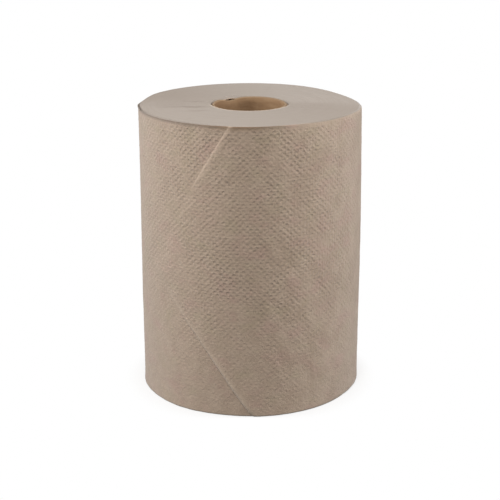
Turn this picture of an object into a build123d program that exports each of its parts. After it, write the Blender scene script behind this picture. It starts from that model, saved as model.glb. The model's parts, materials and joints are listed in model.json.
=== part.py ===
"""Brown paper towel roll: a wound paper web with a folded tail, on a paperboard core tube.

Frame: millimetres, origin on the roll's axis at its bottom face, +Z up along the axis.
Angles go round the axis from the front (-Y) towards the right (+X).
"""
from build123d import *
import os
from math import cos, floor, radians, sin

# Wound paper
roll_height = 200.0        # width of the paper web
roll_diameter = 154.0      # over the outermost turn
sheet_thickness = 0.3      # one embossed sheet
rim_ease = 0.8             # softened slit edge at both ends of the outer turns

# Core tube
core_bore = 48.0           # inside diameter
core_wall = 1.6            # the wound paperboard plies together
core_recess = 0.2          # how far each end of the tube lies below the paper's end face
core_edge_ease = 0.3       # worn edges of the tube

# Room between the tube and the first turn, which has pulled slightly oval
glued_gap = 0.15           # front and back, where the first turn is glued on
loose_gap = 1.0            # left and right

# Tail: the end of the last turn, with both corners folded under to make a point
tail_point_angle = -55.0   # where the point lies
tail_point_rise = 3.0      # the point above the roll's middle height
tail_top_angle = -10.0     # where the upper fold runs out at the top end
tail_bottom_angle = 1.0    # where the lower fold runs out at the bottom end
tail_lead = 3.0            # from the point back to where the turn below begins

# Turns on the end faces, drawn coarser than the hundreds of real ones
turn_pitch = 5.5
turn_groove_width = 0.6
turn_groove_depth = 0.3
turn_margin = 2.0          # plain paper left beside the hole and beside the rim

# Sizes that follow from the driving ones
roll_radius = roll_diameter / 2
tail_step = 2 * sheet_thickness
core_radius = core_bore / 2 + core_wall
core_length = roll_height - 2 * core_recess
hole_half_width = core_radius + loose_gap
hole_half_depth = core_radius + glued_gap

right_side = 90.0          # the angle at which sections are drawn, along +X
half_turn = 180.0


def direction(angle):
    """Unit vector at this angle round the roll."""
    return Vector(sin(radians(angle)), -cos(radians(angle)), 0)


def half_roll(radius, first_angle):
    """Half a cylinder with eased rims, from first_angle half a turn round."""
    section = Rectangle(radius, roll_height, align=(Align.MIN, Align.MIN))
    section = chamfer(section.vertices().group_by(Axis.X)[-1], rim_ease)
    half = revolve(Plane.XZ * section, axis=Axis.Z, revolution_arc=half_turn)
    return Rot(0, 0, first_angle - right_side) * half


def bare_of_tail():
    """Prism over the outside that the folded tail leaves bare, on the left of both folds."""
    middle_angle = (tail_point_angle + max(tail_top_angle, tail_bottom_angle)) / 2
    facing = direction(middle_angle)
    plane = Plane(facing * (roll_radius / 2), x_dir=direction(middle_angle + right_side), z_dir=facing)

    def on_plane(angle, height):
        return Vector(roll_radius * sin(radians(angle - middle_angle)), height)

    point = on_plane(tail_point_angle, roll_height / 2 + tail_point_rise)
    upper_fold = on_plane(tail_top_angle, roll_height) - point
    lower_fold = on_plane(tail_bottom_angle, 0) - point
    above = point + upper_fold + upper_fold
    below = point + lower_fold + lower_fold
    far_left = -roll_diameter
    outline = Polygon(point, above, (far_left, above.Y), (far_left, below.Y), below, align=None)
    return extrude(plane * outline, amount=roll_radius)


def turn_grooves():
    """Spiral groove in the top end face: half turns about two centres, growing by a pitch each turn."""
    centre_offset = turn_pitch / 4
    half_turn_growth = turn_pitch / 2
    first_radius = hole_half_width + turn_margin + centre_offset
    outer_limit = roll_radius - tail_step - rim_ease - turn_margin
    last_radius = outer_limit - centre_offset - half_turn_growth
    turn_count = floor((last_radius - first_radius) / turn_pitch) + 1
    grooves = []
    for turn in range(turn_count):
        radius = first_radius + turn * turn_pitch
        grooves.append(half_groove(radius, -centre_offset, 0))
        grooves.append(half_groove(radius + half_turn_growth, centre_offset, half_turn))
    return grooves


def half_groove(radius, centre_x, first_turned):
    """Half a ring of V section, cut down from the top end face."""
    floor_point = (radius, roll_height - turn_groove_depth)
    inner_lip = (radius - turn_groove_width, roll_height + turn_groove_depth)
    outer_lip = (radius + turn_groove_width, roll_height + turn_groove_depth)
    section = Polygon(floor_point, outer_lip, inner_lip, align=None)
    half_ring = revolve(Plane.XZ * section, axis=Axis.Z, revolution_arc=half_turn)
    return Pos(centre_x, 0, 0) * Rot(0, 0, first_turned) * half_ring


def paper_roll():
    """The web's turns as one solid: spiral outside with the tail's step, oval hole, turns on both ends."""
    start_angle = tail_point_angle - tail_lead
    last_turn = half_roll(roll_radius, start_angle) - bare_of_tail()
    turn_below = half_roll(roll_radius - tail_step, start_angle)
    back_half = half_roll(roll_radius - tail_step / 2, start_angle + half_turn)
    back_half = Pos(direction(start_angle) * (-tail_step / 2)) * back_half
    roll = last_turn + turn_below + back_half
    roll -= extrude(Ellipse(hole_half_width, hole_half_depth), amount=roll_height)
    top_grooves = turn_grooves()
    middle = Plane.XY.offset(roll_height / 2)
    bottom_grooves = [mirror(groove, about=middle) for groove in top_grooves]
    return roll - top_grooves - bottom_grooves


def core_tube():
    """Plain paperboard tube with worn edges, a little shorter than the web is wide."""
    wall = Rectangle(core_wall, core_length, align=(Align.MIN, Align.MIN))
    wall = chamfer(wall.vertices(), core_edge_ease)
    section = Pos(core_bore / 2, core_recess) * wall
    return revolve(Plane.XZ * section, axis=Axis.Z)


os.makedirs("parts", exist_ok=True)
export_step(paper_roll(), "parts/paper_roll.step")
export_step(core_tube(), "parts/core_tube.step")
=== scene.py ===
"""Brown hard-wound paper towel roll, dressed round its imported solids.

The wound paper and the core tube are remodelled as closed meshes in the solids' place: an embossed
sheet that goes once round the roll and ends in a folded point, the turns on both end faces, and a
paperboard tube with ply edges. Angles go round the axis from the front (-Y) towards the right (+X).
"""

import json
import math

import bmesh
import bpy
import numpy as np
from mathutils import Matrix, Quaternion, Vector

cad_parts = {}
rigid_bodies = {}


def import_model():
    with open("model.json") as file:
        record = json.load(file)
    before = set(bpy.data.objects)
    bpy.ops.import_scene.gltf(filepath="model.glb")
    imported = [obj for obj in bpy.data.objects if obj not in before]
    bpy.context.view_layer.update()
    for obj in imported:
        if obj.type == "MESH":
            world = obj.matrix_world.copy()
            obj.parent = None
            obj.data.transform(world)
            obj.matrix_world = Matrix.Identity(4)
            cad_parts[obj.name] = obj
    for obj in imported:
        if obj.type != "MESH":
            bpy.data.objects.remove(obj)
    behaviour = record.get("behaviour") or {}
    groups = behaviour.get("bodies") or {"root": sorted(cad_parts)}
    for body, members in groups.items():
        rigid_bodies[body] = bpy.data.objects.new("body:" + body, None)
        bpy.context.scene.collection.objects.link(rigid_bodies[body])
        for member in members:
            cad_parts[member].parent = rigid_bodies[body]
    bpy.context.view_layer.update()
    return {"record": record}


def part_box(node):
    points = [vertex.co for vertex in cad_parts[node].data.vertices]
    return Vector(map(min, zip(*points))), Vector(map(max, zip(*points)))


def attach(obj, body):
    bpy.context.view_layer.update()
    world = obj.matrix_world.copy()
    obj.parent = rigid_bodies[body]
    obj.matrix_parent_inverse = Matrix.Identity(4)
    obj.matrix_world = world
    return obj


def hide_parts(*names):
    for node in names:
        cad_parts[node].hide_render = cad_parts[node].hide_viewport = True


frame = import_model()

MM = 0.001
FULL_TURN = 360.0
HALF_TURN = FULL_TURN / 2
CIRCLE = 2 * math.pi

# Sizes read from the solids
roll_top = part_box("paper_roll")[1]
roll_radius = roll_top.x
roll_height = roll_top.z
core_bottom, core_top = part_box("core_tube")
core_radius = core_top.x
mounts = {mount["name"]: mount for mount in frame["record"]["mounts"]}
bore_radius = mounts["core_bore"]["dims"]["r_mm"] * MM

# The winding's last turn and its folded tail
tail_step = 0.6 * MM
tail_start_angle = -61.0
tail_point_angle = -57.5
tail_top_angle = -10.0
tail_bottom_angle = 1.0
tail_point_row = 91

# Embossed dots, staggered: one at each corner and one in the middle of every repeat
repeats_round = 109
repeats_up = 48
steps_per_repeat = 4
row_count = repeats_up * steps_per_repeat
column_angle = FULL_TURN / (repeats_round * steps_per_repeat)
row_height = roll_height / row_count
repeat_angle = steps_per_repeat * column_angle
repeat_height = steps_per_repeat * row_height
dot_depth = 0.13 * MM
dot_rise = 0.09 * MM
grain_relief = 0.035 * MM

tail_point_height = tail_point_row * row_height


# Helpers

def seeded(number):
    """A random generator that gives the same draws on every run."""
    return np.random.default_rng(number)


def smooth_step(value):
    """Ease from 0 to 1 over the value's own 0 to 1."""
    value = np.clip(value, 0.0, 1.0)
    return value * value * (3 - 2 * value)


def ease(value, start, end):
    """0 at the start, 1 at the end, eased between them."""
    return smooth_step((value - start) / (end - start))


def bell(offset, spread):
    """1 in the middle, falling to 0 on both sides."""
    return np.exp(-((offset / spread) ** 2))


def turned_from(angle, other):
    """Signed angle from one direction to another, the short way round."""
    return (np.asarray(angle) - other + HALF_TURN) % FULL_TURN - HALF_TURN


def near(angle, centre, spread):
    """1 in this direction from the axis, falling to 0 beside it."""
    return bell(turned_from(angle, centre), spread)


def near_all(angle, places):
    """Sum over places given as angle, spread and strength, each falling to 0 beside it."""
    return sum(strength * near(angle, centre, spread) for centre, spread, strength in places)


def between(angle, middle, eased_in, eased_out):
    """1 over part of the way round. Both eased ends are counted from the middle."""
    aside = turned_from(angle, middle)
    return ease(aside, *eased_in) * ease(aside, *eased_out)


def waves(angle, height, seed, count, round_range, up_range):
    """Soft random relief about 0 that closes on itself round the roll, of about unit size."""
    draw = seeded(seed)
    total = np.zeros(np.broadcast(angle, height).shape)
    for _ in range(count):
        times_round = draw.integers(round_range[0], round_range[1] + 1)
        times_up = draw.uniform(*up_range) * draw.choice((-1, 1))
        phase = draw.uniform(0, CIRCLE)
        total += np.sin(times_round * np.radians(angle) + CIRCLE * times_up * height / roll_height + phase)
    return total * math.sqrt(2 / count)


def along_sheet(angle):
    """Distance round the sheet for an angle."""
    return np.radians(angle) * roll_radius


# The tail's folds on the unrolled sheet

upper_bow = 0.6
lower_bow = 4.6
lower_bow_skew = 1.3
point_blend = 4 * row_height


def fold_angle(height):
    """Angle of the folded edge at this height: nearly straight above the point, bowed out below it."""
    if height >= tail_point_height:
        share = (height - tail_point_height) / (roll_height - tail_point_height)
        straight = tail_point_angle + share * (tail_top_angle - tail_point_angle)
        return straight - upper_bow * math.sin(math.pi * share)
    share = height / tail_point_height
    straight = tail_bottom_angle + share * (tail_point_angle - tail_bottom_angle)
    return straight + lower_bow * math.sin(math.pi * share ** lower_bow_skew)


def fold_slope(height):
    """Sine of the angle between the folded edge and the horizontal."""
    rise = roll_height - tail_point_height
    upper_sine = rise / math.hypot(along_sheet(tail_top_angle - tail_point_angle), rise)
    lower_run = along_sheet(tail_bottom_angle - tail_point_angle)
    lower_sine = tail_point_height / math.hypot(lower_run, tail_point_height)
    blend = smooth_step((height - tail_point_height) / point_blend + 0.5)
    return lower_sine + blend * (upper_sine - lower_sine)


# How the fold lies: spans with no unit are shares of the roll's height
fold_lift_top = 0.04 * MM
fold_top_place = 0.93 * roll_height
fold_top_spread = 0.10 * roll_height
fold_lift_foot = 0.75 * MM
fold_foot_span = (0.24, 0.02)
fold_foot_end = (-3.5 * MM, 6.5 * MM)
fold_lift_reach = 6.0 * MM
fold_press = 0.54 * MM
pressed_above = (0.85, 0.755)
pressed_below = 0.17 * roll_height
fold_ridge = 0.55 * MM
ridge_span = (0.46, 0.08)
ridge_end = (-1.8 * MM, 4.2 * MM)
lower_width = 0.8
upper_narrowing = 0.15
narrowing_span = (0.45, 0.65)
# Where the crest gets a painted highlight: start, end and strength
fold_highlight_spans = ((0.80, 0.90, 0.04), (0.46, 0.36, 0.45), (0.30, 0.15, 0.32))


def fold_pressing(height):
    """1 where the fold is pressed flat, round the point, and 0 near both ends."""
    if height > tail_point_height:
        return ease(height / roll_height, *pressed_above)
    return bell(height - tail_point_height, pressed_below)


def fold_lift(height):
    """How far the fold stands off the roll: most near its foot, pressed in at the point."""
    foot = ease(height / roll_height, *fold_foot_span) * ease(height, *fold_foot_end)
    lifted = fold_lift_top * bell(height - fold_top_place, fold_top_spread) + fold_lift_foot * foot
    return lifted - fold_press * fold_pressing(height)


def fold_highlight(height):
    """How strong the painted highlight on the crest of the fold is: near the top end, and along most of the
    lower fold.
    """
    return sum(strength * ease(height / roll_height, start, end) for start, end, strength in fold_highlight_spans)


def lower_fold(height):
    """How much the lower fold stands up as a narrow ridge: 0 at the point, 1 near the bottom end."""
    return ease(height / roll_height, *ridge_span) * ease(height, *ridge_end)


def fold_width(height):
    """Scale of the fold's section: narrower along the upper fold."""
    return lower_width - upper_narrowing * ease(height / roll_height, *narrowing_span)


tail_point = (along_sheet(tail_point_angle), tail_point_height)


def folded_corner(angle, height):
    """The triangle of sheet that is folded under along the line from the tail's point to this place."""
    point = np.array(tail_point)
    root = np.array((along_sheet(angle), height))
    corner = np.array((tail_point[0], height))
    along = (root - point) / np.linalg.norm(root - point)
    foot = point + along * np.dot(corner - point, along)
    return [tail_point, tuple(root), tuple(2 * foot - corner)]


upper_flap = folded_corner(tail_top_angle, roll_height)
lower_flap = folded_corner(tail_bottom_angle, 0.0)
flap_relief = 0.22 * MM
flap_softness = 1.6 * MM
flap_fade = 14.0 * MM
flap_pressing = 0.7


def inside_triangle(x, y, corners):
    """1 inside the triangle, 0 outside, with soft edges."""
    nearest = np.full(np.shape(x), np.inf)
    centre = np.mean(corners, axis=0)
    for start, end in zip(corners, corners[1:] + corners[:1]):
        along = np.subtract(end, start)
        normal = np.array((-along[1], along[0])) / math.hypot(*along)
        if np.dot(centre - np.array(start), normal) < 0:
            normal = -normal
        nearest = np.minimum(nearest, (x - start[0]) * normal[0] + (y - start[1]) * normal[1])
    return smooth_step(nearest / flap_softness + 0.5)


def flaps(angle, height):
    """Where the corners that are folded under lie below the outer sheet: 1 over them, 0 elsewhere."""
    x = along_sheet(angle)
    return inside_triangle(x, height, upper_flap), inside_triangle(x, height, lower_flap)


# The outer sheet's slow forms

# Faint creases in the outer sheet: start and end as (angle, height), width and relief in millimetres
creases = (
    ((26.0, 179.0), (26.9, 80.0), 2.6, 0.16),
    ((35.1, 86.0), (40.6, 73.0), 1.6, 0.18),
    ((5.5, 87.0), (17.3, 59.5), 2.0, 0.16),
    ((12.2, 42.0), (15.9, 21.0), 1.8, 0.20),
    ((32.6, 43.0), (34.7, 20.0), 1.8, 0.18),
    ((60.0, 160.0), (63.0, 90.0), 2.4, 0.14),
    ((118.0, 150.0), (112.0, 60.0), 2.6, 0.16),
    ((171.0, 190.0), (176.0, 120.0), 2.2, 0.15),
    ((214.0, 96.0), (222.0, 22.0), 2.4, 0.16),
    ((262.0, 185.0), (257.0, 128.0), 2.0, 0.14),
)
crease_ends = (0.02, 0.98)
crease_taper = 0.7


def crease_relief(angle, height):
    """Low rounded ridges along the creases."""
    relief = np.zeros(np.broadcast(angle, height).shape)
    for start, end, width, rise in creases:
        first = np.array((along_sheet(start[0]), start[1] * MM))
        run = np.array((along_sheet(end[0]), end[1] * MM)) - first
        x = along_sheet(angle) - first[0]
        y = height - first[1]
        share = np.clip((x * run[0] + y * run[1]) / np.dot(run, run), 0.0, 1.0)
        away = np.hypot(x - share * run[0], y - share * run[1])
        fade = np.sin(math.pi * np.clip(share, *crease_ends)) ** crease_taper
        relief += rise * MM * fade * bell(away, width * MM)
    return relief


def wound_radius(turned):
    """Radius of the sheet after this angle from the tail: level for half a turn, then a step lower."""
    back = np.radians(np.clip(turned, HALF_TURN, FULL_TURN))
    return roll_radius - tail_step / 2 * (1 + np.cos(back))


# Directions are given as angle and spread, random waves as seed, count, times round and times up
soft_side = (92.0, 32.0)
bulge_rise = 0.9 * MM
shrunk_side = (58.0, 18.0)
foot_shrink = 0.9 * MM
foot_shrink_height = 12.0 * MM


def side_bulge(angle, height):
    """The winding stands out on the right at middle height, and draws in at its foot on the front right."""
    out = near(angle, *soft_side) * np.sin(math.pi * height / roll_height) ** 2
    drawn_in = near(angle, *shrunk_side) * np.exp(-height / foot_shrink_height)
    return bulge_rise * out - foot_shrink * drawn_in


sheet_waviness = 0.10 * MM
wavy_sheet = (11, 14, (2, 9), (0.3, 2.2))
sheet_cockle = 0.045 * MM
cockled_sheet = (13, 40, (10, 44), (2.0, 14.0))
rim_flare = 0.35 * MM
flare_evenness = 0.75
uneven_flare = (12, 6, (1, 6), (0, 0.3))
rim_flare_front = 0.45 * MM
flared_front = (-10.0, 24.0)
rim_draw = 0.85 * MM
drawn_part = (0.0, (3.0, 17.0), (82.0, 57.0))
rim_flare_height = 4.5 * MM


def sheet_relief(angle, height):
    """Slow unevenness of the outer sheet: soft waves, creases and slightly flared slit edges."""
    uneven = sheet_waviness * waves(angle, height, *wavy_sheet)
    uneven += sheet_cockle * waves(angle, height, *cockled_sheet)
    at_top = height > roll_height / 2
    flare = rim_flare * (flare_evenness + (1 - flare_evenness) * waves(angle, height, *uneven_flare))
    flare += rim_flare_front * near(angle, *flared_front) * at_top
    flare -= rim_draw * between(angle, *drawn_part) * at_top
    flare *= np.exp(-np.minimum(height, roll_height - height) / rim_flare_height)
    uneven += flare + crease_relief(angle, height)
    return uneven + side_bulge(angle, height) + lip_relief(angle, height)


# The rim

rim_row = 0.2 * MM
rim_soft = 1.8 * MM
rim_crisp = 0.22 * MM
rim_eased = 0.30 * MM
eased_front = (10.0, 40.0)
rim_lip = 0.38 * MM
rim_lip_height = 0.8 * MM
lip_part = (-35.0, (-75.0, -50.0), (75.0, 50.0))
# Where the top edge has settled: angle, spread and depth
rim_drops = ((112.0, 30.0, 1.9 * MM), (-101.0, 11.0, 1.4 * MM))
rim_drop_reach = 14.0 * MM


def rim_rounding(angle):
    """Radius of the rim: nearly crisp on the left, a little eased in front, pressed soft on the right."""
    return rim_crisp + rim_eased * near(angle, *eased_front) + rim_soft * near(angle, *soft_side)


def rim_inset(angle, height):
    """How far the rounding takes the wall in at this height."""
    radius = rim_rounding(angle)
    short = np.clip(radius - np.minimum(height, roll_height - height), 0.0, radius)
    return radius - np.sqrt(radius * radius - short * short)


def lip_relief(angle, height):
    """The slit edge of the outer turn, pressed out in a narrow lip in front and on the left."""
    return rim_lip * between(angle, *lip_part) * bell(roll_height - height, rim_lip_height)


def rim_drop(angle, height):
    """How far the winding's top edge has settled on the right and at the left corner."""
    return near_all(angle, rim_drops) * ease(height, roll_height - rim_drop_reach, roll_height)


# Painted shade along the rim, on the right, on the left and in front: strength, part of the way round and how
# far each reaches down
right_shade_soft = 0.6
right_shade_soft_gain = 2.2
right_shade_soft_start = 0.9
right_shade_edge = 0.9
right_shade_edge_start = 1.2
right_shade_middle = 85.0
right_shade_sides = (75.0, 40.0)
shade_strength = 0.85
shade_part = (-45.0, (-58.0, -38.0), (70.0, 50.0))
shade_line = 1.1 * MM
shade_start = 1.3
strip_shade_strength = 0.60
strip_shade_front = (-6.0, 15.0)
strip_shade_depth = 4.5 * MM


def right_rim_shading(angle, height):
    """How far the wall is darkened by painted shade on the right: over the soft rim, and in a line at its
    edge.
    """
    from_top = roll_height - height
    soft = right_shade_soft * smooth_step(right_shade_soft_gain * near(angle, *soft_side))
    soft *= smooth_step(right_shade_soft_start - from_top / rim_soft)
    edge = right_shade_edge * ease(np.abs(turned_from(angle, right_shade_middle)), *right_shade_sides)
    edge *= smooth_step(right_shade_edge_start - from_top / rim_lip_height)
    return np.maximum(soft, edge)


def rim_shade(angle, height):
    """How dark the wall's top edge is: a narrow line on the left and in front."""
    on_left = between(angle, *shade_part)
    return shade_strength * on_left * smooth_step(shade_start - (roll_height - height) / shade_line)


def rim_strip_shading(angle, height):
    """How far the wall takes a brown painted shade near its top edge: a soft strip in front."""
    return strip_shade_strength * near(angle, *strip_shade_front) * ease(roll_height - height, strip_shade_depth, 0.0)


class Surface:
    """Points and faces collected before they become one mesh."""

    def __init__(self):
        self.points = []
        self.sheet_uv = []
        self.tones = {name: [] for name in ("marks", "crest_highlight", "right_rim_shade", "shade", "strip_shade")}
        self.faces = []
        self.face_uv = []
        self.face_material = []
        self.sharp_edges = []

    def add_point(self, angle, radius, height, uv=(0.0, 0.0), **tones):
        turned = math.radians(angle)
        self.points.append((radius * math.sin(turned), -radius * math.cos(turned), height))
        self.sheet_uv.append(uv)
        for name, values in self.tones.items():
            values.append(tones.get(name, 0.0))
        return len(self.points) - 1

    def add_face(self, corners, material, uv=None):
        self.faces.append(corners)
        self.face_uv.append([self.sheet_uv[corner] for corner in corners] if uv is None else uv)
        self.face_material.append(material)

    def add_ring(self, previous, current, material):
        """Quads between two closed loops of as many points."""
        for k in range(len(current)):
            following = (k + 1) % len(current)
            self.add_face((previous[k], previous[following], current[following], current[k]), material)

    def angle_of(self, number):
        """Direction of a point from the axis."""
        x, y, _ = self.points[number]
        return math.degrees(math.atan2(x, -y))


SHEET, TURN_EDGES, FIRST_TURN = 0, 1, 2

# The outer sheet as rows of points, each row a loop that starts and ends at the folded edge

# Section of the fold: distance from its edge in millimetres, then shares of the step, ridge, curl and painted
# highlight
fold_profile = (
    (0.0, 0.0, 0.0, 0.0, 0.0),
    (0.3, 0.12, 0.45, 1.0, 0.3),
    (0.7, 0.40, 1.0, 0.6, 0.9),
    (1.3, 0.75, 0.85, 0.0, 0.9),
    (2.1, 1.0, 0.35, 0.0, 0.5),
    (3.2, 1.0, 0.08, 0.0, 0.3),
)
# How far its crest curls over, and the room to the sheet's first column, in millimetres too
fold_curl = 0.65
fold_first_gap = 0.5
fold_dots = 0.7
# Share of the rim's brown strip of painted shade on the fold
fold_strip_shade = 0.6


class Row:
    """One row of the wall: where it meets the fold, and its points from there once round."""

    def __init__(self, height, number):
        self.height = height
        self.number = number
        self.fold = fold_angle(height)
        self.per_mm = math.degrees(MM / fold_slope(height) / roll_radius)
        self.width = fold_width(height)
        self.fold_end = fold_profile[-1][0] * self.width
        first_angle = self.fold + (self.fold_end + fold_first_gap) * self.per_mm
        last_angle = self.fold + FULL_TURN - fold_first_gap * self.per_mm
        self.first = math.ceil(first_angle / column_angle)
        self.last = math.floor(last_angle / column_angle)
        self.edge = []
        self.ids = []

    def uv(self, angle):
        """Place on the unrolled sheet, counted in repeats of the dots."""
        return angle / repeat_angle, self.height / repeat_height


def sheet_rows():
    """The rows of the wall, with a narrow row that has no number at both rims."""
    levels = [(0.0, None), (rim_row, None)]
    levels += [(number * row_height, number) for number in range(1, row_count)]
    levels += [(roll_height - rim_row, None), (roll_height, None)]
    return [Row(height, number) for height, number in levels]


# How deep the dots are pressed
dots_patchy = 0.85
dots_patchiness = 0.16
patchy_dots = (21, 12, (6, 30), (2.0, 9.0))
dots_range = (0.3, 1.4)
dots_hidden_upper = 0.15
dots_hidden_lower = 0.25
dots_low = 0.36
dots_gain = 0.60
dots_gain_span = (0.10, 0.52)
dots_round = 0.9
# Deeper or weaker round the roll: angle, spread and change
dots_changes = ((0.0, 30.0, 0.45), (-78.0, 29.0, -0.48), (45.0, 25.0, -0.15), (80.0, 23.0, -0.30))
# Weaker low on the left: angles to the left, shares of the height and loss
dots_lost = (((35.0, 55.0), (0.40, 0.25), 0.6), ((8.0, 28.0), (0.24, 0.12), 0.35))
# Weaker on the turn below the lower fold: angles beyond the fold, shares of the height, angles to the left
dots_beyond = 0.25
beyond_angles = (-2.0, 8.0)
beyond_span = (0.47, 0.37)
beyond_left = (125.0, 95.0)
# Flattened where the tail is glued
dots_glued = 0.5
glued_place = (-39.0, 9.0)
glued_height = 0.49
glued_spread = 0.06
plain_rim = 5 * row_height


def dot_strength(angle, height):
    """How deep the dots are pressed: uneven, weaker low down and over the folded-under corners."""
    up = height / roll_height
    leftward = -turned_from(angle, 0.0)
    upper, lower = flaps(angle, height)
    strength = np.clip(dots_patchy + dots_patchiness * waves(angle, height, *patchy_dots), *dots_range)
    strength *= 1 - dots_hidden_upper * upper - dots_hidden_lower * lower
    strength *= dots_low + dots_gain * ease(up, *dots_gain_span)
    strength *= dots_round + near_all(angle, dots_changes)
    strength *= 1 - sum(loss * ease(leftward, *left) * ease(up, *span) for left, span, loss in dots_lost)
    beyond = ease(fold_angle(height) + leftward, *beyond_angles) * ease(up, *beyond_span)
    strength *= 1 - dots_beyond * beyond * ease(leftward, *beyond_left)
    strength *= 1 - dots_glued * near(angle, *glued_place) * bell(up - glued_height, glued_spread)
    return strength * ease(np.minimum(height, roll_height - height), 0.0, plain_rim)


dot_seed = 1000
grain_seed = 5000
dot_variety = (0.65, 1.25)


def dot_relief(columns, number, strength):
    """The dots of one row, each a little different, and the sheet's grain."""
    step = CIRCLE / steps_per_repeat
    pressed = np.cos(columns * step) * math.cos(number * step)
    pattern = np.where(pressed > 0, -dot_depth * pressed, -dot_rise * pressed)
    own = seeded(dot_seed + number).uniform(*dot_variety, len(columns))
    grain = seeded(grain_seed + number).normal(0, grain_relief, len(columns))
    return pattern * strength * own + grain * (1 + strength) / 2


def add_fold(surface, row):
    """The fold's rounded edge, from the turn below it up to the outer sheet."""
    height = row.height
    relief = sheet_relief(row.fold, height)
    under = wound_radius(row.fold + FULL_TURN - tail_start_angle) + relief
    over = wound_radius(row.fold - tail_start_angle) + relief + fold_lift(height)
    raised = lower_fold(height)
    for offset, step_share, ridge_share, curl_share, highlight_share in fold_profile:
        angle = row.fold + (offset * row.width - curl_share * fold_curl * raised) * row.per_mm
        radius = under + step_share * (over - under) + ridge_share * fold_ridge * raised
        radius -= rim_inset(angle, height)
        level = height - rim_drop(angle, height)
        # Dot strength, the crest's painted highlight and the rim's strip of painted shade
        tones = {
            "marks": fold_dots * dot_strength(angle, height),
            "crest_highlight": highlight_share * fold_highlight(height),
            "strip_shade": fold_strip_shade * rim_strip_shading(angle, height),
        }
        row.edge.append(surface.add_point(angle, radius, level, row.uv(angle), **tones))


def add_row(surface, row):
    """The outer sheet's points, on the dots' columns."""
    height = row.height
    columns = np.arange(row.first, row.last + 1)
    angles = columns * column_angle
    from_fold = (angles - row.fold) / row.per_mm * MM
    radii = wound_radius(angles - tail_start_angle) + sheet_relief(angles, height) - rim_inset(angles, height)
    radii += fold_lift(height) * np.exp(-(from_fold - row.fold_end * MM) / fold_lift_reach)
    flap_rise = flap_relief * (1 - flap_pressing * fold_pressing(height)) * np.exp(-from_fold / flap_fade)
    radii += flap_rise * np.maximum(*flaps(angles, height))
    strength = dot_strength(angles, height)
    if row.number is not None:
        radii += dot_relief(columns, row.number, strength)
    heights = height - rim_drop(angles, height)
    # Dot strength, and the rim's painted shade: on the right, the line on the left and the brown strip in
    # front
    tones = {
        "marks": strength,
        "right_rim_shade": right_rim_shading(angles, height),
        "shade": rim_shade(angles, height),
        "strip_shade": rim_strip_shading(angles, height),
    }
    for k, angle in enumerate(angles):
        own_tones = {name: values[k] for name, values in tones.items()}
        row.ids.append(surface.add_point(angle, radii[k], heights[k], row.uv(angle), **own_tones))


def add_sheet(surface):
    """The wall: every row keeps the dots' columns, and meets the fold in a rounded edge of its own."""
    rows = sheet_rows()
    for row in rows:
        add_fold(surface, row)
        add_row(surface, row)
    for below, above in zip(rows, rows[1:]):
        join_rows(surface, below, above)
    return rows


def join_rows(surface, below, above):
    """Faces between two neighbouring rows of the sheet."""
    for left in range(len(fold_profile) - 1):
        right = left + 1
        surface.add_face((below.edge[left], below.edge[right], above.edge[right], above.edge[left]), SHEET)
    surface.sharp_edges.append((below.edge[0], above.edge[0]))
    first = max(below.first, above.first)
    last = min(below.last, above.last)
    low = below.ids[first - below.first:]
    high = above.ids[first - above.first:]
    shared = last - first
    fan(surface, [below.edge[-1]] + below.ids[:first - below.first + 1],
        [above.edge[-1]] + above.ids[:first - above.first + 1])
    for step in range(shared):
        surface.add_face((low[step], low[step + 1], high[step + 1], high[step]), SHEET)
    closing = {row.edge[0]: row.uv(row.fold + FULL_TURN) for row in (below, above)}
    fan(surface, low[shared:] + [below.edge[0]], high[shared:] + [above.edge[0]], closing)


def fan(surface, low, high, closing=None):
    """Faces between two short runs of points, one of which may hold more points than the other."""
    uv = closing or {}
    step_low, step_high = 0, 0
    while step_low < len(low) - 1 or step_high < len(high) - 1:
        spare_low = len(low) - 1 - step_low
        spare_high = len(high) - 1 - step_high
        if spare_low == spare_high:
            corners = (low[step_low], low[step_low + 1], high[step_high + 1], high[step_high])
            step_low, step_high = step_low + 1, step_high + 1
        elif spare_low > spare_high:
            corners = (low[step_low], low[step_low + 1], high[step_high])
            step_low += 1
        else:
            corners = (low[step_low], high[step_high + 1], high[step_high])
            step_high += 1
        surface.add_face(corners, SHEET, [uv.get(corner, surface.sheet_uv[corner]) for corner in corners])


# A gap that has opened inside the outermost turn, along part of the top rim

loose_turn_opening = (-104.0, -79.0)
loose_turn_closing = (-6.0, -36.0)
loose_turn_widening = (-92.0, -62.0)
loose_turn_wider = 1.2
loose_turn_gap = 0.95 * MM
loose_turn_depth = 3.0 * MM
# Rows over the outermost turn and through the gap: distance inwards, shares of the gap and of its depth
loose_turn_rows = ((0.12 * MM, 0.0, 0.0), (0.60 * MM, 0.0, 1.0), (0.65 * MM, 1.0, 1.0), (0.75 * MM, 1.0, 0.0))


def looseness(angle):
    """1 where the outermost turn stands off the next one, 0 where it lies on it."""
    return ease(angle, *loose_turn_opening) * ease(angle, *loose_turn_closing)


def add_loose_turn(surface, outer):
    """The top of the outermost turn and the gap inside it. Returns the loop on the gap's far side."""
    previous = outer
    for inward, across, down in loose_turn_rows:
        current = []
        for start in outer:
            x, y, height = surface.points[start]
            angle = surface.angle_of(start)
            loose = looseness(angle)
            wider = 1 + loose_turn_wider * ease(angle, *loose_turn_widening)
            radius = math.hypot(x, y) - inward - across * loose * wider * loose_turn_gap
            current.append(surface.add_point(angle, radius, height - down * loose * loose_turn_depth))
        surface.add_ring(previous, current, TURN_EDGES)
        previous = current
    return previous


# The hole, with the place where the core has been crushed and the paper beside it pushed up

hole_gap = 0.65 * MM
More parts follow.
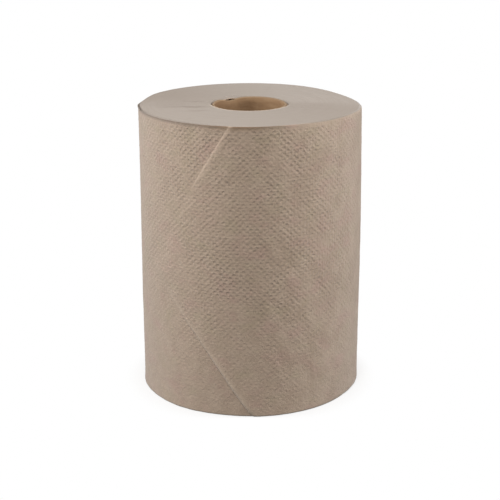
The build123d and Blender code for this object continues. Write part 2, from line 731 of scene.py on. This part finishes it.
# Where the first turn stands off the tube: angle, spread and extra gap
hole_pulls = ((-111.0, 22.0, 1.1 * MM), (85.0, 24.0, 1.2 * MM))
hole_lip = 0.35 * MM
glue_gap = 0.12 * MM
first_turn_radius = core_radius + glue_gap
gap_depth = 2.6 * MM
dent_place = (-145.5, 16.0)
dent_depth = 1.8 * MM
tongue_reach = 1.9 * MM
tongue_rise = 1.55 * MM
# Rows of the hole's mouth: depth, then shares of the hole's width, the tongue's reach and its rise
mouth_rows = (
    (hole_lip, 1.0, 0.5, 0.3),
    (0.6 * gap_depth, 0.6, 0.9, 0.75),
    (0.9 * gap_depth, 0.2, 1.0, 1.0),
    (gap_depth, 0.0, 0.0, 1.0),
)
slit_edge_share = 0.5


def hole_radius(angle):
    """Radius of the hole at this angle."""
    return core_radius + hole_gap + near_all(angle, hole_pulls)


def beside_dent(angle):
    """1 in the middle of the dent, falling to 0 beside it."""
    return near(angle, *dent_place)


def add_hole(surface, top_lip, bottom_lip, angles):
    """The first turn's inside, between the lips of both end faces."""
    rows = [(True,) + row for row in mouth_rows] + [(False,) + row for row in reversed(mouth_rows)]
    previous = top_lip
    for at_top, depth, flare, tongue_share, rise_share in rows:
        current = []
        for angle in angles:
            radius = first_turn_radius + flare * (hole_radius(angle) - first_turn_radius)
            height = roll_height - depth if at_top else depth
            if at_top:
                radius -= tongue_share * tongue_reach * beside_dent(angle)
                height += rise_share * tongue_rise * beside_dent(angle)
            current.append(surface.add_point(angle, radius, height))
        surface.add_ring(previous, current, TURN_EDGES if at_top and flare > slit_edge_share else FIRST_TURN)
        previous = current
    surface.add_ring(previous, bottom_lip, FIRST_TURN)


# The end faces, where the edges of the turns show

end_columns = 164
top_rings = 30
bottom_rings = 10
top_seed = 41
bottom_seed = 43
end_edge_radius = roll_radius - tail_step - 3.0 * MM
turn_relief = 0.04 * MM
turn_variety = 0.8
# Random waves without their seed, which both ends have of their own
spoke_relief = 0.10 * MM
spoke_waves = (9, (18, 46), (0, 0))
end_unevenness = 0.06 * MM
slow_waves = (5, (1, 4), (0, 0))
lip_rise = 1.0 * MM
lip_rise_reach = 0.10
settled_span = (0.7, 1.0)


def end_relief(angle, share, ring_offset, seed):
    """Height of the end face: uneven turns, and faint spokes where the winding has pulled oval."""
    spoke = waves(angle, 0.0, seed, *spoke_waves)
    slow = waves(angle, 0.0, seed + 1, *slow_waves)
    beside_hole = math.sin(math.radians(angle)) ** 2 * (1 - share)
    return turn_relief * ring_offset + spoke_relief * spoke * beside_hole + end_unevenness * slow * share


def top_form(angle, share):
    """The top end's own form: pushed up beside the dent, settled at the rim."""
    pushed_up = lip_rise * beside_dent(angle) * bell(share, lip_rise_reach)
    return pushed_up - rim_drop(angle, roll_height) * ease(share, *settled_span)


def add_end(surface, outer, end_rings, face_height, outward, seed):
    """One end face, from the wall's rim to the lip of the hole. Returns the lip's points and angles."""
    draw = seeded(seed)
    angles = [surface.angle_of(number) for number in outer]
    shift = next(k for k in range(len(angles)) if angles[k] < angles[k - 1] - HALF_TURN)
    outer = outer[shift:] + outer[:shift]
    angles = np.maximum.accumulate(np.array(angles[shift:] + angles[:shift]))
    ring_angles = -HALF_TURN + (np.arange(end_columns) + 0.5) * FULL_TURN / end_columns
    for ring in range(end_rings):
        share = 1 - ring / (end_rings - 1)
        offset = 0.0 if ring in (0, end_rings - 1) else draw.normal(0, turn_variety)
        current = []
        for angle in ring_angles:
            inner = hole_radius(angle) + hole_lip
            radius = inner + share * (end_edge_radius - rim_rounding(angle) - inner)
            relief = end_relief(angle, share, offset, seed)
            relief = relief + top_form(angle, share) if outward > 0 else min(relief, 0.0)
            current.append(surface.add_point(angle, radius, face_height + outward * relief))
        if ring == 0:
            bridge(surface, outer, angles, current, ring_angles)
        else:
            surface.add_ring(previous, current, TURN_EDGES)
        previous = current
    return previous, ring_angles


def bridge(surface, outer, outer_angles, inner, inner_angles):
    """Triangles between two closed loops with different numbers of points."""
    outer_step, inner_step = 0, 0
    outer_angles = list(outer_angles) + [outer_angles[0] + FULL_TURN]
    inner_angles = list(inner_angles) + [inner_angles[0] + FULL_TURN]
    while outer_step < len(outer) or inner_step < len(inner):
        here_outer, here_inner = outer[outer_step % len(outer)], inner[inner_step % len(inner)]
        outer_left, inner_left = outer_step < len(outer), inner_step < len(inner)
        if outer_left and (not inner_left or outer_angles[outer_step + 1] <= inner_angles[inner_step + 1]):
            surface.add_face((here_outer, outer[(outer_step + 1) % len(outer)], here_inner), TURN_EDGES)
            outer_step += 1
        else:
            surface.add_face((here_outer, inner[(inner_step + 1) % len(inner)], here_inner), TURN_EDGES)
            inner_step += 1


def build_object(name, surface, materials):
    """One mesh object of a collected surface, with outward normals and smooth shading."""
    mesh = bpy.data.meshes.new(name)
    mesh.from_pydata(surface.points, [], surface.faces)
    layer = mesh.uv_layers.new(name="sheet")
    flat = [value for face in surface.face_uv for corner in face for value in corner]
    layer.data.foreach_set("uv", flat)
    for tone, values in surface.tones.items():
        mesh.attributes.new(tone, "FLOAT", "POINT").data.foreach_set("value", values)
    mesh.polygons.foreach_set("material_index", surface.face_material)
    mesh.polygons.foreach_set("use_smooth", [True] * len(mesh.polygons))
    for material in materials:
        mesh.materials.append(material)
    edit = bmesh.new()
    edit.from_mesh(mesh)
    bmesh.ops.recalc_face_normals(edit, faces=edit.faces)
    edit.to_mesh(mesh)
    edit.free()
    sharp = {frozenset(edge) for edge in surface.sharp_edges}
    for edge in mesh.edges:
        if frozenset(edge.vertices) in sharp:
            edge.use_edge_sharp = True
    mesh.update()
    return link_object(name, mesh)


def link_object(name, data):
    """An object in the scene that shows this data."""
    made = bpy.data.objects.new(name, data)
    bpy.context.scene.collection.objects.link(made)
    return made


# Materials

def linear(red, green, blue):
    """Linear colour of an sRGB colour given in 0 to 255."""
    def channel(value):
        value /= 255
        return value / 12.92 if value <= 0.04045 else ((value + 0.055) / 1.055) ** 2.4
    return (channel(red), channel(green), channel(blue), 1.0)


def grey(value):
    """Linear grey."""
    return (value, value, value, 1.0)


# Sockets of a mix node that hold colours
FIRST_COLOUR, SECOND_COLOUR, MIXED_COLOUR = 6, 7, 2


class Nodes:
    """Short helpers for the node tree of a material or of the world."""

    def __init__(self, owner):
        owner.use_nodes = True
        self.owner = owner
        self.tree = owner.node_tree

    def add(self, kind, **settings):
        node = self.tree.nodes.new(kind)
        for name, value in settings.items():
            setattr(node, name, value)
        return node

    def put(self, socket, value):
        if hasattr(value, "is_output"):
            self.tree.links.new(value, socket)
        else:
            socket.default_value = value

    def fill(self, node, *values):
        """Put values into the first sockets of a node. Returns the node's first output."""
        for socket, value in zip(node.inputs, values):
            self.put(socket, value)
        return node.outputs[0]

    def set(self, node, **inputs):
        """Put values into sockets by name, with underscores for spaces. Returns the first output."""
        for name, value in inputs.items():
            self.put(node.inputs[name.replace("_", " ")], value)
        return node.outputs[0]

    def math(self, operation, *values):
        return self.fill(self.add("ShaderNodeMath", operation=operation), *values)

    def times(self, product, *values):
        for value in values:
            product = self.math("MULTIPLY", product, value)
        return product

    def plus(self, first, second):
        return self.math("ADD", first, second)

    def minus(self, first, second):
        return self.math("SUBTRACT", first, second)

    def scaled(self, vector, scale):
        return self.fill(self.add("ShaderNodeVectorMath", operation="MULTIPLY"), vector, scale)

    def join(self, x, y, z):
        return self.fill(self.add("ShaderNodeCombineXYZ"), x, y, z)

    def split(self, vector):
        node = self.add("ShaderNodeSeparateXYZ")
        self.fill(node, vector)
        return node.outputs

    def noise(self, vector, scale, detail, roughness):
        node = self.add("ShaderNodeTexNoise")
        return self.set(node, Vector=vector, Scale=scale, Detail=detail, Roughness=roughness)

    def stretched_noise(self, vector, stretch, *look):
        return self.noise(self.scaled(vector, stretch), *look)

    def range(self, value, low, high, to_low=0.0, to_high=1.0, smooth=True):
        """Turn the values from low to high into another range, 0 to 1 if none is given."""
        node = self.add("ShaderNodeMapRange", interpolation_type="SMOOTHSTEP" if smooth else "LINEAR")
        return self.fill(node, value, low, high, to_low, to_high)

    def mix(self, share, first, second):
        node = self.add("ShaderNodeMix", data_type="RGBA")
        self.put(node.inputs["Factor"], share)
        self.put(node.inputs[FIRST_COLOUR], first)
        self.put(node.inputs[SECOND_COLOUR], second)
        return node.outputs[MIXED_COLOUR]

    def layers(self, colour, *laid):
        """Lay colours over one another: the value that shows each, its range, the most of it, the colour."""
        for value, low, high, most, shown in laid:
            colour = self.mix(self.range(value, low, high, 0.0, most), colour, shown)
        return colour

    def relief(self, *laid):
        """Lay bumps over one another: height, distance and strength of each."""
        normal = None
        for height, distance, strength in laid:
            node = self.add("ShaderNodeBump")
            if normal is not None:
                self.put(node.inputs["Normal"], normal)
            normal = self.set(node, Height=height, Distance=distance, Strength=strength)
        return normal

    def tone(self, name):
        return self.add("ShaderNodeAttribute", attribute_name=name).outputs["Fac"]

    def place(self):
        return self.add("ShaderNodeTexCoord").outputs["Object"]

    def cylinder(self):
        """Angle in turns, radius and height of the point that is shaded."""
        x, y, z = self.split(self.place())
        angle = self.math("DIVIDE", self.math("ARCTAN2", y, x), CIRCLE)
        radius = self.math("SQRT", self.plus(self.times(x, x), self.times(y, y)))
        return angle, radius, z

    def shader(self, kind, **inputs):
        return self.set(self.add(kind), **inputs)

    def blend(self, share, first, second):
        return self.fill(self.add("ShaderNodeMixShader"), share, first, second)

    def seen_directly(self):
        """1 for rays from the camera, mirrored or let through, which see the plain white background."""
        rays = self.add("ShaderNodeLightPath").outputs
        mirrored = self.math("MAXIMUM", rays["Is Camera Ray"], rays["Is Glossy Ray"])
        return self.math("MAXIMUM", mirrored, rays["Is Transmission Ray"])

    def finish(self, **inputs):
        """Set the main shader's sockets. Returns the material."""
        self.set(self.tree.nodes["Principled BSDF"], **inputs)
        return self.owner


kraft = linear(176, 154, 134)
kraft_dark = linear(150, 126, 105)
kraft_light = linear(190, 169, 148)
kraft_rosy = linear(179, 151, 135)
kraft_olive = linear(174, 156, 132)
# Painted highlight for the crest of the fold
kraft_highlight = linear(206, 186, 164)
# Brown painted shade for the strip below the rim in front
kraft_strip_shade = linear(150, 118, 86)
# Painted shade for the rim on the right, then for the line on the left and in front
right_rim_shade_colour = linear(130, 119, 108)
rim_line = linear(108, 94, 80)
# Lit and shaded copies of the end faces' colour, for their painted sheen
turn_edge_sheen_lit = linear(163, 153, 144)
turn_edge_sheen_shaded = linear(147, 136, 126)
# Painted highlight for the hole's front lip
turn_edge_lip_highlight = linear(200, 184, 166)
turn_edge_dark = linear(145, 134, 123)
# Painted shade for the dark streaks on the top end
turn_edge_streak_shade = linear(132, 121, 111)
board = linear(146, 116, 85)
board_dark = linear(119, 90, 63)
board_light = linear(157, 129, 98)
ply_edge = linear(140, 120, 98)

# The sheet's noises: stretch, then scale, detail and roughness
sheet_fibres = ((1.0, 1.0, 0.7), 1500.0, 5.0, 0.65)
sheet_crepe = ((1.0, 1.0, 0.8), 560.0, 3.0, 0.7)
sheet_tint = ((1.0, 1.0, 1.6), 60.0, 3.0, 0.55)
sheet_patches = ((1.0, 1.0, 0.7), 68.0, 2.0, 0.5)
sheet_mottle = (160.0, 4.0, 0.6)
dot_randomness = 0.18
dot_own_strength = (0.75, 1.12)
dot_edge = (0.46, 0.10)
dot_bump = 0.31 * MM
# How far painted shade darkens the dots' hollows
dot_painted_shade = 0.14
crepe_bump = 0.85 * MM
crepe_least = 0.50
crepe_full = 0.8
fibre_bump = 0.16 * MM
patch_range = (0.35, 0.68)
patch_sides = (-20.0 * MM, 40.0 * MM, 0.09, 0.30)
# Share of the painted highlight on the fold's crest
highlight_colour_share = 0.8


def embossing(nodes):
    """The dots' fine shape, each a little off its place and of its own strength, and the mark's strength."""
    u, v, _ = nodes.split(nodes.add("ShaderNodeUVMap", uv_map="sheet").outputs[0])
    rising = nodes.plus(nodes.plus(u, v), 0.5)
    falling = nodes.plus(nodes.minus(u, v), 0.5)
    dot = nodes.add("ShaderNodeTexVoronoi", voronoi_dimensions="2D", feature="F1")
    nodes.set(dot, Vector=nodes.join(rising, falling, 0.0), Scale=1.0, Randomness=dot_randomness)
    marks = nodes.tone("marks")
    own = nodes.range(nodes.split(dot.outputs["Color"])[0], 0.0, 1.0, *dot_own_strength, False)
    dots = nodes.times(nodes.range(dot.outputs["Distance"], *dot_edge), marks, own)
    return dots, marks


def kraft_sheet():
    """Soft brown towel paper: fibres, mottling and the embossed dots' fine shape."""
    nodes = Nodes(bpy.data.materials.new("kraft_sheet"))
    place = nodes.place()
    dots, marks = embossing(nodes)
    stretched = (sheet_fibres, sheet_crepe, sheet_tint, sheet_patches)
    fibres, crepe, tint, patches = [nodes.stretched_noise(place, *look) for look in stretched]
    mottle = nodes.noise(place, *sheet_mottle)
    crepe_height = nodes.times(nodes.range(marks, 0.0, crepe_full, crepe_least, 1.0, False), crepe_bump)
    normal = nodes.relief(
        (nodes.minus(1.0, dots), dot_bump, 1.0),
        (crepe, crepe_height, 1.0),
        (fibres, fibre_bump, 1.0),
    )
    colour = nodes.layers(
        kraft,
        (mottle, 0.32, 0.70, 0.50, kraft_light),
        (fibres, 0.62, 0.80, 0.5, kraft_dark),
        (tint, 0.50, 0.72, 0.8, kraft_rosy),
        (tint, 0.48, 0.28, 0.7, kraft_olive),
    )
    # Painted shade in the dots' hollows
    colour = nodes.mix(nodes.times(dots, dot_painted_shade), colour, kraft_dark)
    on_right = nodes.range(nodes.split(place)[0], *patch_sides)
    colour = nodes.mix(nodes.times(nodes.range(patches, *patch_range), on_right), colour, kraft_dark)
    # Painted highlight on the crest of the fold
    colour = nodes.mix(nodes.times(nodes.tone("crest_highlight"), highlight_colour_share), colour, kraft_highlight)
    # Painted shade along the rim: on the right, the line on the left and the brown strip in front
    for tone, shown in (("right_rim_shade", right_rim_shade_colour), ("shade", rim_line), ("strip_shade", kraft_strip_shade)):
        colour = nodes.mix(nodes.tone(tone), colour, shown)
    roughness = nodes.range(fibres, 0.3, 0.7, 0.82, 0.95)
    return nodes.finish(Base_Color=colour, Roughness=roughness, Normal=normal, Specular_IOR_Level=0.35,
                        Sheen_Weight=0.30, Sheen_Roughness=0.6)


# The slit fibres lie over to one side, and their sheen is painted: the end faces are lighter in two opposite
# quarters than in the others, and a little darker on the left
sheen_back = -2.0 * MM
sheen_slant = 0.055
sheen_twist = 0.45
sheen_blend = 8.0 * MM
sheen_blend_sides = 28.0 * MM
sheen_left = (0.0, -20.0 * MM)
sheen_right = (35.0 * MM, 75.0 * MM)
sheen_reach = 45.0 * MM
sheen_middle = 0.51
sheen_quarters = 0.34
sheen_sides = 0.15


def painted_sheen(nodes, x, front):
    """How far the end face takes the shaded copy of its painted sheen: most in two opposite quarters, a
    little more on the left.
    """
    across = nodes.minus(front, nodes.times(x, sheen_slant))
    crisp = nodes.range(across, sheen_back - sheen_blend, sheen_back + sheen_blend, -1.0, 1.0)
    soft = nodes.range(across, sheen_back - sheen_blend_sides, sheen_back + sheen_blend_sides, -1.0, 1.0)
    at_sides = nodes.plus(nodes.range(x, *sheen_left), nodes.range(x, *sheen_right))
    to_front = nodes.plus(nodes.times(crisp, nodes.minus(1.0, at_sides)), nodes.times(soft, at_sides))
    along = nodes.minus(x, nodes.times(front, sheen_twist))
    to_right = nodes.range(along, -sheen_reach, sheen_reach, -1.0, 1.0, False)
    shade = nodes.plus(sheen_middle, nodes.times(to_front, to_right, sheen_quarters))
    return nodes.minus(shade, nodes.times(to_right, sheen_sides))


# Dark streaks of painted shade across the turns on the left of the top: place towards the front, half width,
# outer and inner end, strength
streaks = (
    (-6.6 * MM, 3.4 * MM, -52 * MM, -27 * MM, 0.80),
    (12.6 * MM, 3.4 * MM, -66 * MM, -23 * MM, 0.90),
    (26.5 * MM, 3.4 * MM, -52 * MM, -24 * MM, 0.55),
    (5.0 * MM, 15.0 * MM, -74 * MM, -40 * MM, 0.20),
)
streak_fade = 22.0 * MM
streak_wander = 7.0 * MM
streak_wander_noise = ((1.0, 0.3, 1.0), 75.0, 3.0, 0.6)
streak_break_noise = ((0.35, 1.0, 1.0), 190.0, 3.0, 0.6)
streak_break = (0.25, 0.60, 0.35, 1.0)
top_half = (0.4 * roll_height, 0.6 * roll_height)


def streaked(nodes, colour, x, front, height):
    """The colour of the end face with the dark streaks of painted shade over it."""
    place = nodes.place()
    on_top = nodes.range(height, *top_half)
    broken = nodes.range(nodes.stretched_noise(place, *streak_break_noise), *streak_break)
    wander = nodes.stretched_noise(place, *streak_wander_noise)
    wandering = nodes.plus(front, nodes.times(nodes.minus(wander, 0.5), streak_wander))
    for streak_front, streak_width, outer_end, inner_end, strength in streaks:
        aside = nodes.math("ABSOLUTE", nodes.minus(wandering, streak_front))
        across = nodes.range(aside, 0.0, streak_width, strength, 0.0)
        outer = nodes.range(x, outer_end, outer_end + streak_fade)
        inner = nodes.range(x, inner_end, inner_end - streak_fade / 2)
        colour = nodes.mix(nodes.times(across, outer, inner, broken, on_top), colour, turn_edge_streak_shade)
    return colour


ring_stretch = 0.012
ring_noise = (2600.0, 2.0, 0.7)
band_noise = (420.0, 3.0, 0.6)
spokes_round = 60.0
spokes_across = 25.0
spoke_noise = (1.0, 3.0, 0.55)
fluff_noise = (1300.0, 4.0, 0.6)
# Painted highlight along the front lip of the hole: radii where it is strongest and where it ends, its
# strength there, then its rise towards the front
lip_highlight_radii = (core_radius + 1.2 * MM, core_radius + 3.4 * MM, 0.7, 0.0)
lip_highlight_front = (0.0, 12.0 * MM)


def kraft_turn_edges():
    """The slit edges of hundreds of turns: fine rings, broken along their length, with faint spokes."""
    nodes = Nodes(bpy.data.materials.new("kraft_turn_edges"))
    angle, radius, height = nodes.cylinder()
    x, y, _ = nodes.split(nodes.place())
    front = nodes.times(y, -1.0)
    ring_place = nodes.join(radius, nodes.times(angle, ring_stretch), height)
    fine = nodes.noise(ring_place, *ring_noise)
    bands = nodes.noise(ring_place, *band_noise)
    spoke_place = nodes.join(nodes.times(angle, spokes_round), nodes.times(radius, spokes_across), 0.0)
    spokes = nodes.noise(spoke_place, *spoke_noise)
    fluff = nodes.noise(nodes.place(), *fluff_noise)
    colour = nodes.layers(
        # Painted sheen over the end faces, lighter in two opposite quarters
        nodes.mix(painted_sheen(nodes, x, front), turn_edge_sheen_lit, turn_edge_sheen_shaded),
        (bands, 0.35, 0.75, 0.20, turn_edge_dark),
        (fine, 0.45, 0.75, 0.25, turn_edge_dark),
        (spokes, 0.55, 0.85, 0.20, turn_edge_dark),
    )
    # Painted highlight along the hole's front lip
    lip = nodes.times(nodes.range(radius, *lip_highlight_radii), nodes.range(front, *lip_highlight_front))
    colour = streaked(nodes, nodes.mix(lip, colour, turn_edge_lip_highlight), x, front, height)
    normal = nodes.relief((fine, 0.10 * MM, 0.8), (bands, 0.06 * MM, 0.8), (fluff, 0.06 * MM, 0.8))
    return nodes.finish(Base_Color=colour, Roughness=0.95, Normal=normal, Specular_IOR_Level=0.2)


first_turn_patch_noise = (200.0, 3.0, 0.6)


def first_turn():
    """The first turn's inside, darker in patches."""
    nodes = Nodes(bpy.data.materials.new("kraft_first_turn"))
    first_turn_patches = nodes.noise(nodes.place(), *first_turn_patch_noise)
    colour = nodes.layers(kraft, (first_turn_patches, 0.45, 0.8, 1.0, kraft_dark))
    normal = nodes.relief((first_turn_patches, 0.1 * MM, 1.0))
    return nodes.finish(Base_Color=colour, Roughness=0.9, Normal=normal, Specular_IOR_Level=0.3)


strip_pitch = 79.0 * MM
seam_start = 0.62
seam_width = 1.1 * MM
seam_darkness = 0.6
grain_up = 260.0
grain_round = 9.0
board_grain = (1.0, 5.0, 0.6)
board_fibres = (1400.0, 5.0, 0.65)
board_mottle = (120.0, 3.0, 0.55)
ply_stretch = 0.1
ply_noise = (2200.0, 1.0, 0.5)
# Painted shade on the left of the core: where it starts, where it is strongest, and its strength from none to
# most
core_left_painted_shade = (-0.35 * bore_radius, -0.8 * bore_radius, 0.0, 0.62)


def ply_lines(nodes, radius, height):
    """Fine rings across the wall of the tube."""
    return nodes.noise(nodes.join(radius, 0.0, nodes.times(height, ply_stretch)), *ply_noise)


def paperboard():
    """Grey-brown core board: a spiral seam between strips, fibres along the strips, dark specks."""
    nodes = Nodes(bpy.data.materials.new("paperboard"))
    angle, radius, height = nodes.cylinder()
    along = nodes.minus(nodes.math("DIVIDE", height, strip_pitch), angle)
    across = nodes.minus(nodes.math("FRACT", nodes.plus(along, seam_start)), 0.5)
    from_seam = nodes.times(nodes.math("ABSOLUTE", across), strip_pitch)
    seam = nodes.range(from_seam, 0.0, seam_width, 1.0, 0.0)
    grain_place = nodes.join(nodes.times(height, grain_up), nodes.times(angle, grain_round), radius)
    grain = nodes.noise(grain_place, *board_grain)
    fibres = nodes.noise(nodes.place(), *board_fibres)
    mottle = nodes.noise(nodes.place(), *board_mottle)
    plies = ply_lines(nodes, radius, height)
    colour = nodes.layers(
        board,
        (grain, 0.3, 0.75, 0.8, board_dark),
        (mottle, 0.4, 0.75, 0.6, board_light),
        (fibres, 0.64, 0.8, 0.6, board_dark),
    )
    colour = nodes.mix(nodes.times(seam, seam_darkness), colour, board_dark)
    # Painted shade on the left of the core
    colour = nodes.mix(nodes.range(nodes.split(nodes.place())[0], *core_left_painted_shade), colour, board_dark)
    normal = nodes.relief(
        (nodes.minus(1.0, seam), 0.25 * MM, 1.0),
        (fibres, 0.06 * MM, 0.8),
        (plies, 0.05 * MM, 0.5),
    )
    roughness = nodes.range(fibres, 0.3, 0.7, 0.75, 0.9)
    return nodes.finish(Base_Color=colour, Roughness=roughness, Normal=normal, Specular_IOR_Level=0.35)


def ply_edges():
    """The cut edge of the core: paler than its face, with the plies as fine rings."""
    nodes = Nodes(bpy.data.materials.new("ply_edges"))
    _, radius, height = nodes.cylinder()
    plies = ply_lines(nodes, radius, height)
    fibres = nodes.noise(nodes.place(), *board_fibres)
    colour = nodes.layers(ply_edge, (plies, 0.4, 0.65, 0.7, board))
    normal = nodes.relief((fibres, 0.06 * MM, 0.8))
    return nodes.finish(Base_Color=colour, Roughness=0.9, Normal=normal, Specular_IOR_Level=0.3)


# The core tube

BOARD, PLY_EDGES = 0, 1
tube_columns = 144
tube_rows = 60
outside_skip = 6
tube_ease = 0.25 * MM
mouth_ease = 0.7 * MM
tube_unevenness = 0.10 * MM
uneven_top = (31, 6, (1, 7), (0, 0))
tube_recess_front = 0.7 * MM
tube_recess_back = 0.1 * MM
ply_edge_count = 8
first_top_ply = 3
ply_rise = 0.054 * MM


def tube_top(angle):
    """Height of the tube's upper edge: cut a little uneven, and crushed down at the back left."""
    uneven = tube_unevenness * waves(angle, 0.0, *uneven_top)
    towards_front = (1 + math.cos(math.radians(angle))) / 2
    recess = tube_recess_back + towards_front * (tube_recess_front - tube_recess_back)
    return roll_height - recess + uneven - dent_depth * beside_dent(angle)


def ply_ring(ply, share):
    """One ring over the cut edge, where every other ply stands up."""
    across = (core_radius - bore_radius) * ply / ply_edge_count
    return bore_radius + across, -ply_rise if ply % 2 else ply_rise, share


def add_tube(surface):
    """A closed tube: rings go up the inside, over the stepped plies at the top, down the outside and back."""
    rings = [(bore_radius, mouth_ease, row / tube_rows) for row in range(tube_rows + 1)]
    rings += [ply_ring(ply, 1.0) for ply in range(first_top_ply, ply_edge_count)]
    rings += [(core_radius, tube_ease, row / tube_rows) for row in range(tube_rows, -1, -outside_skip)]
    rings += [ply_ring(ply, 0.0) for ply in range(ply_edge_count - 1, 0, -1)]
    loops = []
    for radius, inset, share in rings:
        loop = []
        for angle in np.arange(tube_columns) * FULL_TURN / tube_columns:
            low = core_bottom.z + inset
            high = tube_top(angle) - inset
            loop.append(surface.add_point(angle, radius, low + share * (high - low)))
        loops.append(loop)
    for number, loop in enumerate(loops):
        following = (number + 1) % len(loops)
        on_rim = rings[number][2] == rings[following][2]
        surface.add_ring(loop, loops[following], PLY_EDGES if on_rim else BOARD)


# Build the object

def make_roll():
    surface = Surface()
    rows = add_sheet(surface)
    top_edge = add_loose_turn(surface, rows[-1].edge + rows[-1].ids)
    top_lip, angles = add_end(surface, top_edge, top_rings, roll_height, 1, top_seed)
    bottom_lip, _ = add_end(surface, rows[0].edge + rows[0].ids, bottom_rings, 0.0, -1, bottom_seed)
    add_hole(surface, top_lip, bottom_lip, angles)
    roll = build_object("wound_paper", surface, [kraft_sheet(), kraft_turn_edges(), first_turn()])
    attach(roll, "root")
    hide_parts("paper_roll")


def make_core():
    surface = Surface()
    add_tube(surface)
    core = build_object("paperboard_core", surface, [paperboard(), ply_edges()])
    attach(core, "root")
    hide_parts("core_tube")


# Stage, light and camera

floor_lit = 0.85
floor_bounce = 0.08
floor_reach = 6.0
floor_drop = 0.1 * MM
floor_cover = 1.2 * MM
floor_fade = (roll_radius, roll_radius + 16 * MM, 0.6, 1.0)
floor_corners = ((-1, -1), (1, -1), (1, 1), (-1, 1))
fill_strength = 0.585


def make_floor():
    """A wide white floor that keeps the shadow near the roll and fades to white.

    It is clear from below and under the paper, so that the lower end shows.
    """
    mesh = bpy.data.meshes.new("floor")
    points = [(x * floor_reach, y * floor_reach, -floor_drop) for x, y in floor_corners]
    mesh.from_pydata(points, [], [(0, 1, 2, 3)])
    floor = link_object("floor", mesh)
    nodes = Nodes(bpy.data.materials.new("white_floor"))
    length = nodes.add("ShaderNodeVectorMath", operation="LENGTH")
    nodes.put(length.inputs[0], nodes.place())
    away = length.outputs["Value"]
    lit = nodes.shader("ShaderNodeBsdfDiffuse", Color=grey(floor_lit))
    bounce = nodes.shader("ShaderNodeBsdfDiffuse", Color=grey(floor_bounce))
    white = nodes.shader("ShaderNodeEmission", Strength=1.0)
    shown = nodes.blend(nodes.range(away, *floor_fade), lit, white)
    solid = nodes.blend(nodes.seen_directly(), bounce, shown)
    paper_middle = (roll_radius + core_radius) / 2
    paper_half = (roll_radius - core_radius) / 2 - floor_cover
    under_paper = nodes.math("COMPARE", away, paper_middle, paper_half)
    from_below = nodes.add("ShaderNodeNewGeometry").outputs["Backfacing"]
    clear = nodes.shader("ShaderNodeBsdfTransparent")
    one_sided = nodes.blend(nodes.math("MAXIMUM", from_below, under_paper), solid, clear)
    nodes.put(nodes.tree.nodes["Material Output"].inputs["Surface"], one_sided)
    mesh.materials.append(nodes.owner)


def make_world():
    """White to the camera, a weak even fill on the object."""
    world = bpy.data.worlds.new("studio")
    bpy.context.scene.world = world
    nodes = Nodes(world)
    fill = nodes.set(nodes.tree.nodes["Background"], Color=grey(1.0), Strength=fill_strength)
    white = nodes.shader("ShaderNodeBackground", Color=grey(1.0), Strength=1.0)
    seen = nodes.blend(nodes.seen_directly(), fill, white)
    nodes.put(nodes.tree.nodes["World Output"].inputs["Surface"], seen)


roll_middle = Vector((0, 0, roll_height / 2))

# Soft boxes: name, angle, elevation, distance from the roll's middle, size and power
soft_boxes = (
    ("left_box", -88.0, 31.0, 0.80, 0.30, 3.22),
    ("right_box", 88.0, 29.0, 0.81, 0.30, 3.50),
    ("top_box", -8.0, 45.0, 0.95, 0.35, 3.55),
)


def make_lights():
    """Square soft boxes, aimed at the roll's middle."""
    for name, angle, elevation, away, size, power in soft_boxes:
        data = bpy.data.lights.new(name, "AREA")
        data.shape = "SQUARE"
        data.size = size
        data.energy = power
        lamp = link_object(name, data)
        turned, raised = math.radians(angle), math.radians(elevation)
        level = away * math.cos(raised)
        offset = Vector((level * math.sin(turned), -level * math.cos(turned), away * math.sin(raised)))
        lamp.location = roll_middle + offset
        lamp.rotation_euler = (roll_middle - lamp.location).to_track_quat("-Z", "Y").to_euler()


camera_lens = 99.5
camera_sensor = 36.0
camera_elevation = 16.88
camera_distance = 0.9800
camera_lean = 0.22
photo_width = 500.0
middle_pixel_down = 242.2


def make_camera():
    """The photograph's viewpoint, from the ellipses of the roll's ends and hole."""
    data = bpy.data.cameras.new("camera")
    data.lens = camera_lens
    data.sensor_width = camera_sensor
    data.shift_y = (middle_pixel_down - photo_width / 2) / photo_width
    camera = link_object("camera", data)
    raised = math.radians(camera_elevation)
    back = Vector((0, -math.cos(raised), math.sin(raised)))
    camera.location = roll_middle + back * camera_distance
    lean = Quaternion(-back, math.radians(camera_lean))
    camera.rotation_euler = (lean @ (-back).to_track_quat("-Z", "Y")).to_euler()
    bpy.context.scene.camera = camera


make_roll()
make_core()
make_floor()
make_world()
make_lights()
make_camera()
bpy.context.scene.view_settings.view_transform = "Standard"
